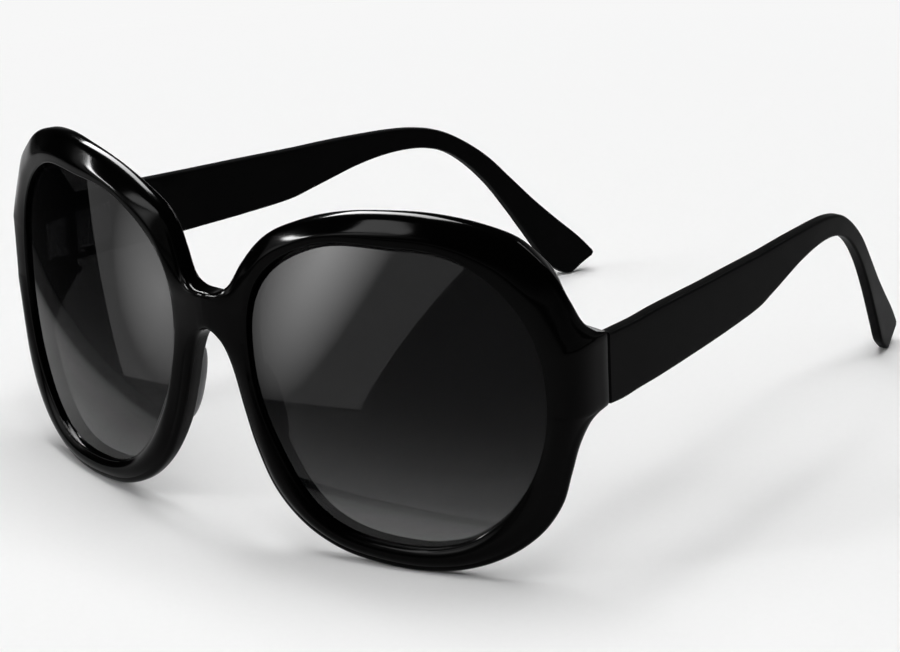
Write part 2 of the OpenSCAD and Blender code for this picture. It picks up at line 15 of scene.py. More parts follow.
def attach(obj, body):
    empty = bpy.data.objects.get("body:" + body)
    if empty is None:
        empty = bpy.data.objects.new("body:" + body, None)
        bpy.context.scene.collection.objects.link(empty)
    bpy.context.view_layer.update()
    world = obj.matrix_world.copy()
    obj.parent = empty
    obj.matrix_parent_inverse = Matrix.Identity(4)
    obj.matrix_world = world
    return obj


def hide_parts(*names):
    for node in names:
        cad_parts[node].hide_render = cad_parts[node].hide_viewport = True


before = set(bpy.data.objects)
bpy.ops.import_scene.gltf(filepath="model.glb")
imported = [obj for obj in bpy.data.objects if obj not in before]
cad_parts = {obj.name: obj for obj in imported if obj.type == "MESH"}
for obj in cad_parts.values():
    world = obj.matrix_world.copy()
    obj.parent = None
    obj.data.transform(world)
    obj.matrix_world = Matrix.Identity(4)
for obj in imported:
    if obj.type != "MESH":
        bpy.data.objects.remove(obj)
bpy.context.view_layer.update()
MM = 0.001

# Sizes of the front, as in the CAD's source
WRAP_R = 151.0  # radius of the upright cylinder that the front and the lenses are wrapped on
HALF = 81.0  # from the middle of the bridge to the joint, along the wrap
RIM_HALF = 34.4  # from the lens centre down to the foot of the rim
FRONT_T = 4.3  # thickness round the lenses
CROWN = 0.8  # how far the face stands forward between lip and edge
BROW_DROP = 2.2  # how far the brow's rear edge lies behind the face
BROW_T = 1.7  # extra thickness of the brow at that edge
EDGE_R = 1.2  # radius of the front edge
BACK_R = 0.9  # radius of the rear edge
END_SWEEP = 8.0  # how far the ends bend back
SWEEP_W = 7.0  # width of that bend, along the wrap
END_T = 8.2  # extra thickness of the end pieces
END_IN = 5.4  # from an end piece's outer corner in to its inner rear corner
LENS_IN = 9.8  # from the middle of the bridge to a lens opening
END_W = 11.2  # width beyond a lens opening, at the temple side
FOOT_W = 4.4  # width of the rim below a lens opening
LIP_T = 1.0  # thickness of the lip in front of a lens
LIP_R = 0.35  # radius of the lip's edges
GROOVE = 1.1  # depth of the groove that holds a lens
BRIDGE_REACH = 8  # how far from the middle the bridge's own crown fades out

# Sizes of the lenses
LENS_T = 1.9  # thickness
LENS_GAP = 0.04  # gap in front and behind
LENS_EDGE = 0.25  # gap round the edge

# Sizes of the temples and their core wires
JOINT_IN = 0.09  # how far the joint plane lies in front of the front's rearmost corner
JOINT_GAP = 0.3  # gap between end piece and temple
TEMPLE_SET = 0.08  # how far a temple's outer face lies in from that corner
LEAN = 30.4  # how far the temples lean in at their tips
REACH = 132.0  # length, front to back
TEMPLE_T = 2.6  # thickness along the blade
BUTT_T = 6.6  # thickness at the joint
BUTT_FALL = 2.0  # how far from the top and bottom edges that thickness begins
TEMPLE_R = 0.6  # radius of the long edges
BEVEL = 0.5  # bevel round the front end
WIRE_R = 0.7  # radius of the wire
WIRE_GAP = 0.03  # its clearance in the bore
WIRE_L = 70.0  # its length, front to back
WIRE_IN = 1.8  # from the temple's outer face to the wire's middle, at the joint

# Sizes of the hinges and their screws
AXIS_IN = 7.4  # from a temple's outer face in to the hinge axis
HINGE_DROP = 0.1  # how far a hinge's middle lies below the end piece's
HINGE_H = 7.8  # height of a hinge
KNUCKLE_R = 1.3  # radius of the knuckles
KNUCKLE_ROOM = 0.35  # room round a moving knuckle
LEAF_T = 1.0  # thickness of a leaf
LEAF_IN = 0.6  # from the axis out to the leaves' inner face
LEAF_GAP = 0.05  # gap round a leaf in its recess
FRONT_LEAF = 7.2  # length of the leaf on the front, from the joint plane
TEMPLE_LEAF = 10.4  # length of the leaf on a temple, from the joint plane
SCREW_R = 0.45  # shank radius of a leaf screw
SCREW_HEAD_H = 0.5  # height of its head
SCREW_L = 2.2  # its length under the head
SCREW_GAP = 0.02  # its clearance
SCREW_DZ = 2.4  # its height above or below the hinge's middle

# Sizes of the nose pads
PAD_DEEP = 3.4  # how far a pad stands back behind the rim
PAD_W = 2.6  # width where it is bonded to the rim
PAD_TOP = 0.5  # its top, below the lens centre
PAD_H = 16.0  # height
PAD_IN = 0.6  # how far its foot lies in from the rim's edge
PAD_GAP = 0.03  # bond line

# Lengths that the scene alone needs
OVERRUN = 0.5  # overrun of a cut
LEAF_ROOM = 3.5  # room cut inwards of a leaf
BORE_DEPTH = 6.0  # depth of the wire's bore, as far as it can be seen

# Steps of the meshes: lengths, then numbers
FRONT_STEP = 0.9  # along the rim
TEMPLE_STEP = 1.2  # along a temple
PLAN_STEP = 1.0  # along a temple's plan
PAD_STEP = 0.5  # along a pad
PAD_RING_STEP = 0.35  # round a pad
BRIDGE_N = 24  # sections of the bridge
LIP_N = 4  # round a lip's edge
FACE_N = 22  # across the face
REAR_N = 10  # across the rear face
ARC_N = 5  # round a temple's edge
INNER_N = 6  # across a temple's inner face
OUTER_N = 10  # across its outer face
ROD_N = 32  # sides of a bore
LENS_SPOKES = 144  # round a lens
LENS_STEPS = 30  # from a lens's middle to its edge

# Rim outline of the +X half, from the bridge's top over the brow and the end piece, round the foot and up
# to the bridge's underside: along the wrap (of HALF), up (of RIM_HALF), brow (of BROW_DROP), rear
# thickness (of BROW_T), end piece (of END_T)
RIM_SHARES = [
    [0, 0.38, -0.25, -0.4, 0], [0.03, 0.386, -0.25, -0.5, 0], [0.063, 0.43, 0, -0.5, 0],
    [0.095, 0.56, 0.3, -0.2, 0], [0.13, 0.675, 0.65, 0.2, 0], [0.174, 0.76, 0.8, 0.45, 0],
    [0.235, 0.828, 0.85, 0.45, 0], [0.312, 0.893, 0.9, 0.4, 0], [0.4, 0.94, 0.93, 0.4, 0],
    [0.495, 0.964, 0.95, 0.5, 0], [0.586, 0.969, 0.97, 0.7, 0], [0.672, 0.95, 1, 0.87, 0],
    [0.744, 0.915, 1, 0.97, 0], [0.807, 0.861, 0.85, 1, 0.05], [0.857, 0.775, 0.7, 0.9, 0.1],
    [0.9, 0.674, 0.5, 0.75, 0.25], [0.93, 0.55, 0.38, 0.6, 0.5], [0.953, 0.437, 0.22, 0.4, 0.8],
    [0.978, 0.365, 0.08, 0.15, 1], [0.994, 0.343, 0, 0, 1], [1, 0.33, 0, 0, 1], [1, 0.22, 0, 0, 1],
    [1, 0.07, 0, 0, 1], [1, -0.05, 0, 0, 1], [0.994, -0.065, 0, 0, 1], [0.981, -0.075, 0, 0, 1],
    [0.963, -0.115, 0, 0, 0.8], [0.942, -0.222, 0, 0, 0.5], [0.924, -0.373, 0, 0, 0.2],
    [0.9, -0.555, 0, 0, 0.05], [0.85, -0.725, 0, -0.3, 0], [0.772, -0.865, 0, -0.6, 0],
    [0.675, -0.96, 0, -0.8, 0], [0.568, -1, 0, -0.9, 0], [0.457, -0.993, 0, -0.9, 0],
    [0.349, -0.95, 0, -0.9, 0], [0.252, -0.845, 0, -0.9, 0], [0.175, -0.678, 0, -0.7, 0],
    [0.125, -0.462, 0, -0.1, 0], [0.092, -0.241, 0, 0, 0], [0.068, -0.04, 0, 0, 0],
    [0.046, 0.082, 0, 0, 0], [0.024, 0.138, 0, 0, 0], [0, 0.162, 0, 0, 0]]
# Top and bottom of an end piece (of RIM_HALF)
END_SHARES = [0.33, -0.05]
# Bridge: heights from its underside to its top (of RIM_HALF)
BRIDGE_SHARES = [0.162, 0.172, 0.19, 0.225, 0.27, 0.31, 0.345, 0.363, 0.38]
# Lens opening: its radius each 30 degrees (of an ellipse's)
LENS_SHARES = [1.03, 1.04, 1, 0.915, 0.995, 1.07, 0.99, 0.945, 0.995, 0.99, 1.045, 1.04]
# The brow's ridge, from the edge's round in to the lip, and how soft it is
RIDGE_SHARE = 0.62
SOFT_SHARE = 0.2
# Crown of the bridge (of CROWN), and the part of the rear face that stays thin
BRIDGE_CROWN_SHARE = 0.92
REAR_THIN_SHARE = 0.1
# Temple: y (of REACH) and z (of RIM_HALF) of its top edge, the same of its bottom edge, and how much of
# the joint's extra thickness is left
TEMPLE_SHARES = [
    [0, 0.33, 0, -0.065, 1], [0.04, 0.32, 0.04, -0.08, 0.82], [0.08, 0.31, 0.08, -0.08, 0.55],
    [0.14, 0.305, 0.14, -0.085, 0.2], [0.24, 0.285, 0.24, -0.085, 0], [0.35, 0.265, 0.34, -0.08, 0],
    [0.455, 0.245, 0.435, -0.065, 0], [0.5, 0.24, 0.475, -0.035, 0], [0.545, 0.233, 0.523, 0.005, 0],
    [0.59, 0.223, 0.567, 0.04, 0], [0.637, 0.21, 0.617, 0.062, 0], [0.682, 0.187, 0.662, 0.063, 0],
    [0.728, 0.137, 0.702, 0.04, 0], [0.771, 0.04, 0.741, -0.018, 0], [0.815, -0.1, 0.778, -0.127, 0],
    [0.856, -0.278, 0.816, -0.29, 0], [0.897, -0.46, 0.849, -0.475, 0], [0.938, -0.625, 0.877, -0.65, 0],
    [0.973, -0.76, 0.902, -0.81, 0], [0.994, -0.856, 0.92, -0.92, 0], [1, -0.89, 0.94, -0.98, 0],
    [0.995, -0.92, 0.956, -1.02, 0]]
# Temple seen from above: along (of REACH), in (of LEAN)
PLAN_SHARES = [[0, 0], [0.165, 0.118], [0.352, 0.257], [0.502, 0.375], [0.615, 0.474], [0.69, 0.55],
               [0.765, 0.638], [0.84, 0.745], [0.915, 0.865], [1, 1]]
# How high the temple's inner rounding is (of TEMPLE_R)
INNER_ROUND_SHARE = 1.3
# Screws along each leaf
FRONT_SCREW_SHARES = [0.42, 0.78]
TEMPLE_SCREW_SHARES = [0.5, 0.82]
# Nose pad: down (of PAD_H) and size; its section: across (of PAD_W), back (of PAD_DEEP)
PAD_SHARES = [[0.02, 0.4], [0.08, 0.66], [0.2, 0.88], [0.35, 0.98], [0.5, 1], [0.65, 0.98], [0.8, 0.88],
              [0.92, 0.66], [0.98, 0.4]]
PAD_RING_SHARES = [[0, 0], [0.05, 0.24], [0.19, 0.5], [0.44, 0.76], [0.8, 0.95], [1.15, 1],
                   [1.37, 0.85], [1.36, 0.56], [1.2, 0.27], [1, 0]]
# Millimetres that a pad's full size counts for where its rows are joined by a curve
PAD_SPAN = 6


# Curves
def hermite(p, q, m, n, t):
    """From p to q, with the tangents m and n."""
    t2, t3 = t * t, t * t * t
    return p * (2 * t3 - 3 * t2 + 1) + m * (t3 - 2 * t2 + t) + q * (3 * t2 - 2 * t3) + n * (t3 - t2)


def between(v, t):
    """Smoothly from v[1] to v[2], of four evenly spaced values."""
    return hermite(v[1], v[2], (v[2] - v[0]) / 2, (v[3] - v[1]) / 2, t)


def curve(rows, step):
    """Rows joined smoothly; the first and last only set the end tangents."""
    rows = [np.array(r, float) for r in rows]
    gap = [np.linalg.norm((b - a)[:2]) for a, b in zip(rows, rows[1:])]
    out = []
    for i in range(1, len(rows) - 2):
        tan = [(rows[j + 1] - rows[j - 1]) / (gap[j - 1] + gap[j]) * gap[i] for j in (i, i + 1)]
        count = math.ceil(gap[i] / step)
        out += [hermite(rows[i], rows[i + 1], tan[0], tan[1], j / count) for j in range(count)]
    return np.array(out + [rows[-2]])


def with_ends(rows):
    """The rows with one more at each end, in line with the last two."""
    rows = [np.array(r, float) for r in rows]
    return [rows[0] * 2 - rows[1]] + rows + [rows[-1] * 2 - rows[-2]]


def smooth(x):
    """From 0 to 1 with level ends."""
    t = np.clip(x, 0, 1)
    return t * t * (3 - 2 * t)


LENS_C = (LENS_IN + HALF - END_W) / 2
LENS_U = (HALF - END_W - LENS_IN) / 2
LENS_V = RIM_HALF - FOOT_W


def lens_at(a):
    """Radius of a lens opening at the angle a, in radians."""
    x = (math.degrees(a) + 360) % 360 / (360 / len(LENS_SHARES))
    i = int(x)
    near = [LENS_SHARES[(i + k) % len(LENS_SHARES)] for k in (-1, 0, 1, 2)]
    return math.hypot(LENS_U * math.cos(a), LENS_V * math.sin(a)) * between(near, x - i)


def wrap(p, w):
    """The point p of the front's flat drawing, laid on the wrap's cylinder and w in front of it."""
    a = p[0] / WRAP_R
    return [(WRAP_R + w) * math.sin(a), WRAP_R - (WRAP_R + w) * math.cos(a), p[1]]


CORNER = wrap([HALF, 0], -END_SWEEP)
JOINT_Y = CORNER[1] - JOINT_IN
TEMPLE_X = CORNER[0] - TEMPLE_SET
TEMPLE_Y0 = JOINT_Y + JOINT_GAP
AXIS_X = TEMPLE_X - AXIS_IN
AXIS_Y = JOINT_Y + JOINT_GAP / 2
HINGE_Z = RIM_HALF * sum(END_SHARES) / 2 - HINGE_DROP
LEAF_X = AXIS_X + LEAF_IN


# Mesh helpers
def new_object(name, data):
    obj = bpy.data.objects.new(name, data)
    bpy.context.scene.collection.objects.link(obj)
    return obj


def mesh_object(name, points, faces):
    """A new mesh object; points in millimetres of the CAD's source, faces anticlockwise from outside."""
    data = bpy.data.meshes.new(name)
    data.from_pydata(((np.array(points) + SHIFT) * MM).tolist(), [], faces)
    data.update()
    return new_object(name, data)


def mirror_part(part):
    return [[-p[0], p[1], p[2]] for p in part[0]], [f[::-1] for f in part[1]]


def mirrored(name, points, faces):
    return mesh_object(name, *mirror_part((points, faces)))


def box_part(lo, hi):
    pts = [[(lo, hi)[i][0], (lo, hi)[j][1], (lo, hi)[k][2]] for i in (0, 1) for j in (0, 1) for k in (0, 1)]
    return pts, [[0, 1, 3, 2], [4, 6, 7, 5], [0, 4, 5, 1], [2, 3, 7, 6], [0, 2, 6, 4], [1, 5, 7, 3]]


def rod_part(start, end, r):
    start, end = Vector(start), Vector(end)
    turn = (end - start).to_track_quat("Z", "Y").to_matrix()
    ring = [turn @ Vector((r * math.cos(a), r * math.sin(a), 0)) for a in
            [2 * math.pi * k / ROD_N for k in range(ROD_N)]]
    pts = [list(start + v) for v in ring] + [list(end + v) for v in ring]
    faces = [[k, (k + 1) % ROD_N, ROD_N + (k + 1) % ROD_N, ROD_N + k] for k in range(ROD_N)]
    return pts, faces + [list(range(ROD_N))[::-1], list(range(ROD_N, 2 * ROD_N))]


def cut(obj, parts):
    """Takes closed parts away from obj."""
    dg = bpy.context.evaluated_depsgraph_get()
    for i, (pts, faces) in enumerate(parts):
        tool = mesh_object("cutter", pts, faces)
        mod = obj.modifiers.new("cut%d" % i, "BOOLEAN")
        mod.operation = "DIFFERENCE"
        mod.solver = "EXACT"
        mod.object = tool
        dg.update()
        made = bpy.data.meshes.new_from_object(obj.evaluated_get(dg))
        obj.modifiers.clear()
        old, obj.data = obj.data, made
        bpy.data.meshes.remove(old)
        bpy.data.objects.remove(tool)


def face_outwards(obj):
    """Turns all faces outwards and drops the points that no face uses."""
    bm = bmesh.new()
    bm.from_mesh(obj.data)
    bmesh.ops.delete(bm, geom=[v for v in bm.verts if not v.link_faces], context="VERTS")
    bmesh.ops.recalc_face_normals(bm, faces=bm.faces)
    bm.to_mesh(obj.data)
    bm.free()


def soften(obj, angle):
    """Smooth shading, with an edge kept where two faces meet at more than the angle."""
    obj.data.polygons.foreach_set("use_smooth", [True] * len(obj.data.polygons))
    obj.data.set_sharp_from_angle(angle=math.radians(angle))


# Front: stations round the rim and over the bridge. Each has the five values of RIM_SHARES, the first two
# in millimetres, and then how far the bridge's own crown takes over
def flipped(r):
    return [-r[0]] + r[1:]


rim_rows = [[r[0] * HALF, r[1] * RIM_HALF, r[2], r[3], r[4]] for r in RIM_SHARES]
rim = [list(r) + [float(smooth(1 - r[0] / BRIDGE_REACH))]
       for r in curve([flipped(rim_rows[1])] + rim_rows + [flipped(rim_rows[-2])], FRONT_STEP)]
FOOT = -min(r[1] for r in rim)
bridge = []
for i in range(1, BRIDGE_N):
    t = i / BRIDGE_N
    last_k = len(BRIDGE_SHARES) - 1
    x = t * last_k
    k = min(int(x), last_k - 1)
    near = [BRIDGE_SHARES[min(max(k + d, 0), last_k)] for d in (-1, 0, 1, 2)]
    bridge.append([0, between(near, x - k) * RIM_HALF, t * RIM_SHARES[0][2], t * RIM_SHARES[0][3], 0, 1.0])

# Where a section's rows lie: on the face and the rear face, and round their outer edges
FACE_Q = [1 - k / FACE_N for k in range(1, FACE_N + 1)]
EDGE_Q = [0.78, 0.58, 0.4, 0.25, 0.13, 0.045, 0]
REAR_EDGE_Q = [0, 0.045, 0.13, 0.28, 0.5, 0.75, 1]
REAR_Q = [1 - k / REAR_N for k in range(1, REAR_N)]
LIP_ARC = [math.pi / 2 * k / LIP_N for k in range(LIP_N + 1)]


def off_line(p, line):
    """Distance of the points p from a polyline, both as arrays."""
    a, b = line[:-1], line[1:]
    d = b - a
    t = np.clip(((p[:, None] - a) * d).sum(2) / (d * d).sum(1), 0, 1)
    return np.sqrt((((p[:, None] - a) - d * t[..., None]) ** 2).sum(2)).min(1)


def round_off(d, r):
    """How far a round of radius r falls off at the distance d from the edge."""
    e = np.clip(r - d, 0, r)
    return r - np.sqrt(r * r - e * e)


def sweep(u):
    """How far the end piece bends back at u."""
    t = np.clip((u - HALF + SWEEP_W) / SWEEP_W, 0, None)
    return END_SWEEP * t * t


def dome(q, brow_share, bridge_share):
    """Crown of the face at q, from 0 at the outer edge to 1 at the opening."""
    rim_form, bridge_form = 4 * q * (1 - q), BRIDGE_CROWN_SHARE * (1 - q * q)
    level = 1 - min(max(brow_share, 0), 1)
    return CROWN * level * (rim_form * (1 - bridge_share) + bridge_form * bridge_share)


def brow(q):
    """Lean of the brow at q, as a share: it grows from the ridge to the outer edge."""
    t = (RIDGE_SHARE - q) / RIDGE_SHARE
    return (t + math.sqrt(t * t + SOFT_SHARE * SOFT_SHARE)) / (1 + math.sqrt(1 + SOFT_SHARE * SOFT_SHARE))


front_line = np.array([r[:2] for r in rim])
rear_line = np.array([[r[0] - END_IN * r[4], r[1]] for r in rim])
SLOT_T = LENS_T + 2 * LENS_GAP


def section(station):
    """Rows of (u, v, w, kind) round one section: kind 1 rounds off by the front line, 2 by the rear line.
    Also the number of the row on the front edge."""
    u, v, brow_share, rear_share, end_share, bridge_share = station
    centre, outer = np.array([LENS_C, 0]), np.array([u, v])
    angle = math.atan2(v, u - LENS_C)
    ray, radius = np.array([math.cos(angle), math.sin(angle)]), lens_at(angle)
    inner = centre + ray * radius
    rear = outer - np.array([END_IN * end_share, 0])
    lip = inner + ray * LIP_R
    front_w = np.linalg.norm(outer - lip) - EDGE_R
    front_way = (outer - lip) / (front_w + EDGE_R)
    rear_w = np.linalg.norm(rear - lip) - BACK_R
    rear_way = (rear - lip) / (rear_w + BACK_R)
    drop = BROW_DROP * brow_share
    extra = BROW_T * rear_share + END_T * end_share
    groove = [centre + ray * (radius + GROOVE), centre + ray * (radius + GROOVE / 2), inner]
    rows = [[*p, -LIP_T, 0] for p in groove]
    for b in LIP_ARC:
        rows.append([*(inner + ray * LIP_R * (1 - math.cos(b))), -LIP_R * (1 - math.sin(b)), 0])
    for q in FACE_Q:
        rows.append([*(outer - front_way * (EDGE_R + front_w * q)),
                     dome(q, brow_share, bridge_share) - drop * brow(q), 1])
    for q in EDGE_Q:
        rows.append([*(outer - front_way * EDGE_R * q),
                     dome(0, brow_share, bridge_share) - drop * brow(-EDGE_R * (1 - q) / front_w), 1])
    side = len(rows) - 1
    for q in REAR_EDGE_Q:
        rows.append([*(rear - rear_way * BACK_R * q), -FRONT_T - extra, 2])
    for q in REAR_Q:
        thick = float(smooth((q - REAR_THIN_SHARE) / (1 - REAR_THIN_SHARE)))
        rows.append([*(lip + rear_way * rear_w * q), -FRONT_T - extra * thick, 2])
    for b in LIP_ARC:
        rows.append([*(inner + ray * LIP_R * (1 - math.sin(b))), LIP_R * (1 - math.cos(b)) - FRONT_T, 0])
    rows += [[*p, -LIP_T - SLOT_T, 0] for p in groove[::-1]]
    return rows, side


cells = []
for station in rim + bridge:
    rows, side_n = section(station)
    cells.append(rows)
rings_n, nodes_n = len(cells), len(cells[0])
flat = np.array(cells).reshape(-1, 4)

# The face is evened out where rims and bridge meet: a plane is fitted round each point, over the middle too.
EVEN_U = 9.5  # how far from the middle it works in full
EVEN_FADE = 5  # width over which it fades out there
EVEN_R = 1.5  # radius of a fit
EVEN_EDGES = 8  # how fast it starts at the face's edges
GROOVE_ROWS = 3
FIT_BLOCK = 400  # points handled at once in the fits
LINE_BLOCK = 4000  # points handled at once along the edges
q_at = np.zeros(nodes_n)
face_at = GROOVE_ROWS + len(LIP_ARC)
q_at[face_at:face_at + FACE_N] = FACE_Q
pick = np.where((flat[:, 3] == 1) & (flat[:, 0] < EVEN_U + EVEN_FADE + 3 * EVEN_R))[0]
part = flat[pick]
both = np.concatenate([part, part * [-1, 1, 1, 1]])
for block in np.array_split(np.arange(len(part)), 1 + len(part) // FIT_BLOCK):
    off = both[:, :2] - part[block, None, :2]
    weight = np.exp(-(off ** 2).sum(2) / (2 * EVEN_R ** 2))
    plane = np.concatenate([np.ones(off.shape[:2] + (1,)), off], 2)
    heavy = (plane * weight[..., None]).transpose(0, 2, 1)
    fit = np.linalg.solve(heavy @ plane, heavy @ both[:, 2:3])[:, 0, 0]
    q = q_at[pick[block] % nodes_n]
    share = smooth(1 - (part[block, 0] - EVEN_U) / EVEN_FADE) * smooth(EVEN_EDGES * q)
    flat[pick[block], 2] += share * smooth(EVEN_EDGES * (1 - q)) * (fit - part[block, 2])

for kind, line, r, sign in ((1, front_line, EDGE_R, -1), (2, rear_line, BACK_R, 1)):
    pick = np.where(flat[:, 3] == kind)[0]
    for block in np.array_split(pick, 1 + len(pick) // LINE_BLOCK):
        flat[block, 2] += sign * round_off(off_line(flat[block, :2], line), r) - sweep(flat[block, 0])
half_points = [wrap(p[:2], p[2]) for p in flat]
half_faces = []
for i in range(rings_n):
    for j in range(nodes_n):
        if j == side_n and i >= len(rim) - 1:
            continue
        i2, j2 = (i + 1) % rings_n, (j + 1) % nodes_n
        half_faces.append([i * nodes_n + j, i2 * nodes_n + j, i2 * nodes_n + j2, i * nodes_n + j2])


def other(i):
    """The point of the far half that mirrors point i; on the middle edge both halves share it."""
    ring, j = divmod(i, nodes_n)
    shared = (ring == 0 or ring >= len(rim) - 1) and j in (side_n, side_n + 1)
    return i if shared else i + len(half_points)


# Temples
plan = curve(with_ends([[r[0] * REACH, r[1] * LEAN] for r in PLAN_SHARES]), PLAN_STEP)
temple_rows = curve(with_ends([[r[0] * REACH, r[1] * RIM_HALF, r[2] * REACH, r[3] * RIM_HALF, r[4]]
                               for r in TEMPLE_SHARES]), TEMPLE_STEP)


def temple_out(y):
    """How far out the temple's outer face lies at y."""
    x = y - JOINT_Y
    if x > plan[-1][0]:
        slope = (plan[-1][1] - plan[-2][1]) / (plan[-1][0] - plan[-2][0])
        return TEMPLE_X - plan[-1][1] - slope * (x - plan[-1][0])
    return TEMPLE_X - float(np.interp(x, plan[:, 0], plan[:, 1]))


def temple_ring(y1, z1, y0, z0, t, inset):
    """Section of a temple from its top (y1, z1) to its underside (y0, z0), t thick and inset all round."""
    up = np.array([y1 - y0, z1 - z0])
    h = np.linalg.norm(up)
    up, thin, r = up / h, min(t, TEMPLE_T), TEMPLE_R
    arc = [math.pi / 2 * k / ARC_N for k in range(ARC_N + 1)]
    across = [[inset + r - r * math.cos(a), r - r * math.sin(a)] for a in arc]
    across += [[thin - inset - r + r * math.sin(a), r - r * math.cos(a)] for a in arc]
    across += [[t - inset, r * INNER_ROUND_SHARE + BUTT_FALL * (t - thin) / (BUTT_T - TEMPLE_T)]]
    top = [[c[0], h - (inset + c[1])] for c in across]
    bottom = [[c[0], inset + c[1]] for c in across][::-1]
    inner = [[t - inset, top[-1][1] + (bottom[0][1] - top[-1][1]) * k / INNER_N] for k in range(1, INNER_N)]
    outer = [[inset, bottom[-1][1] + (top[0][1] - bottom[-1][1]) * k / OUTER_N] for k in range(1, OUTER_N)]
    out = []
    for c, s in top + inner + bottom + outer:
        y, z = y0 + up[0] * s, z0 + up[1] * s
        out.append([temple_out(y) - c, y, z])
    return out


rings = []
for i, s in enumerate(temple_rows):
    t = TEMPLE_T + (BUTT_T - TEMPLE_T) * s[4]
    y1, y0 = max(s[0] + JOINT_Y, TEMPLE_Y0), max(s[2] + JOINT_Y, TEMPLE_Y0)
    if i == 0:
        rings.append(temple_ring(y1, s[1], y0, s[3], t, BEVEL))
        rings.append(temple_ring(y1 + BEVEL, s[1], y0 + BEVEL, s[3], t, 0))
    elif i == len(temple_rows) - 1:
        rings.append(temple_ring(y1, s[1], y0, s[3], t, TEMPLE_R))
    elif y1 > TEMPLE_Y0 + BEVEL:
        rings.append(temple_ring(y1, s[1], y0, s[3], t, 0))
hook = FOOT / -min(p[2] for g in rings for p in g)
ring_n = len(rings[0])
temple_points = [[p[0], p[1], p[2] * hook if p[2] < 0 else p[2]] for g in rings for p in g]
temple_faces = [[(i + 1) * ring_n + j, (i + 1) * ring_n + (j + 1) % ring_n, i * ring_n + (j + 1) % ring_n,
                 i * ring_n + j] for i in range(len(rings) - 1) for j in range(ring_n)]
temple_faces += [list(range(ring_n)), [(len(rings) - 1) * ring_n + j for j in range(ring_n)][::-1]]

# From the source's place to the row frame: centred in depth, feet on the floor
FRONT_Y = min(p[1] for p in half_points)
BACK_Y = max(p[1] for g in rings for p in g)
SHIFT = np.array([0.0, -(FRONT_Y + BACK_Y) / 2, FOOT])


# Recesses for the hinges
def leaf_box(y0, y1, grow):
    """Room for a leaf from y0 to y1, open inwards."""
    return box_part([LEAF_X - LEAF_ROOM, y0, HINGE_Z - HINGE_H / 2 - grow],
                    [LEAF_X + LEAF_T + LEAF_GAP, y1, HINGE_Z + HINGE_H / 2 + grow])


def screw_hole(y, z):
    return rod_part((LEAF_X, y, z), (LEAF_X + SCREW_HEAD_H + SCREW_L + SCREW_GAP, y, z), SCREW_R + SCREW_GAP)


front_cuts = [leaf_box(JOINT_Y - FRONT_LEAF - LEAF_GAP, JOINT_Y + OVERRUN, LEAF_GAP)]
for place, dz in zip(FRONT_SCREW_SHARES, (-SCREW_DZ, SCREW_DZ)):
    front_cuts.append(screw_hole(JOINT_Y - FRONT_LEAF * place, HINGE_Z + dz))
wire_x0 = TEMPLE_X - WIRE_IN
wire_x1 = temple_out(TEMPLE_Y0 + WIRE_L) - TEMPLE_T / 2
wire_dir = Vector((wire_x1 - wire_x0, WIRE_L, 0)).normalized()
wire_at = Vector((wire_x0, TEMPLE_Y0, HINGE_Z))
temple_cuts = [leaf_box(JOINT_Y, JOINT_Y + TEMPLE_LEAF + LEAF_GAP, LEAF_GAP),
               leaf_box(JOINT_Y, AXIS_Y + KNUCKLE_R + KNUCKLE_ROOM, KNUCKLE_ROOM),
               rod_part(wire_at - wire_dir * OVERRUN, wire_at + wire_dir * BORE_DEPTH, WIRE_R + WIRE_GAP)]
for place, dz in zip(TEMPLE_SCREW_SHARES, (SCREW_DZ, -SCREW_DZ)):
    temple_cuts.append(screw_hole(JOINT_Y + TEMPLE_LEAF * place, HINGE_Z + dz))

# Angles above which an edge stays sharp, on the front and on the other pieces
FRONT_SHARP = 32
SHARP = 40

# Front and temples
front = mesh_object("front", half_points + [[-p[0], p[1], p[2]] for p in half_points],
                    half_faces + [[other(i) for i in f[::-1]] for f in half_faces])
ends_cut = box_part([-HALF, JOINT_Y, -RIM_HALF], [HALF, JOINT_Y + END_SWEEP, RIM_HALF])
face_outwards(front)
cut(front, [ends_cut] + front_cuts + [mirror_part(p) for p in front_cuts])
soften(front, FRONT_SHARP)
temples = [mesh_object("left_arm", temple_points, temple_faces),
           mirrored("right_arm", temple_points, temple_faces)]
cut(temples[0], temple_cuts)
cut(temples[1], [mirror_part(p) for p in temple_cuts])

# Lenses: panels of the wrap's own cylinder
lens_w0 = -LIP_T - LENS_GAP
lens_points = []
lens_faces = []
for w in (lens_w0, lens_w0 - LENS_T):
    lens_points.append(wrap([LENS_C, 0], w))
    for j in range(1, LENS_STEPS + 1):
        for k in range(LENS_SPOKES):
            a = 2 * math.pi * k / LENS_SPOKES
            r = (lens_at(a) + GROOVE - LENS_EDGE) * j / LENS_STEPS
            lens_points.append(wrap([LENS_C + r * math.cos(a), r * math.sin(a)], w))


def lens_id(w, j, k):
    """Number of the lens point on face w, ring j and spoke k."""
    layer = w * (1 + LENS_STEPS * LENS_SPOKES)
    return layer + (0 if j == 0 else 1 + (j - 1) * LENS_SPOKES + k % LENS_SPOKES)


for k in range(LENS_SPOKES):
    lens_faces.append([lens_id(0, 0, 0), lens_id(0, 1, k), lens_id(0, 1, k + 1)])
    lens_faces.append([lens_id(1, 0, 0), lens_id(1, 1, k + 1), lens_id(1, 1, k)])
    for j in range(1, LENS_STEPS):
        q = [(j, k), (j + 1, k), (j + 1, k + 1), (j, k + 1)]
        lens_faces.append([lens_id(0, *x) for x in q])
        lens_faces.append([lens_id(1, *x) for x in q[::-1]])
    lens_faces.append([lens_id(0, LENS_STEPS, k), lens_id(1, LENS_STEPS, k), lens_id(1, LENS_STEPS, k + 1),
                       lens_id(0, LENS_STEPS, k + 1)])
lenses = [mesh_object("left_tint", lens_points, lens_faces), mirrored("right_tint", lens_points, lens_faces)]

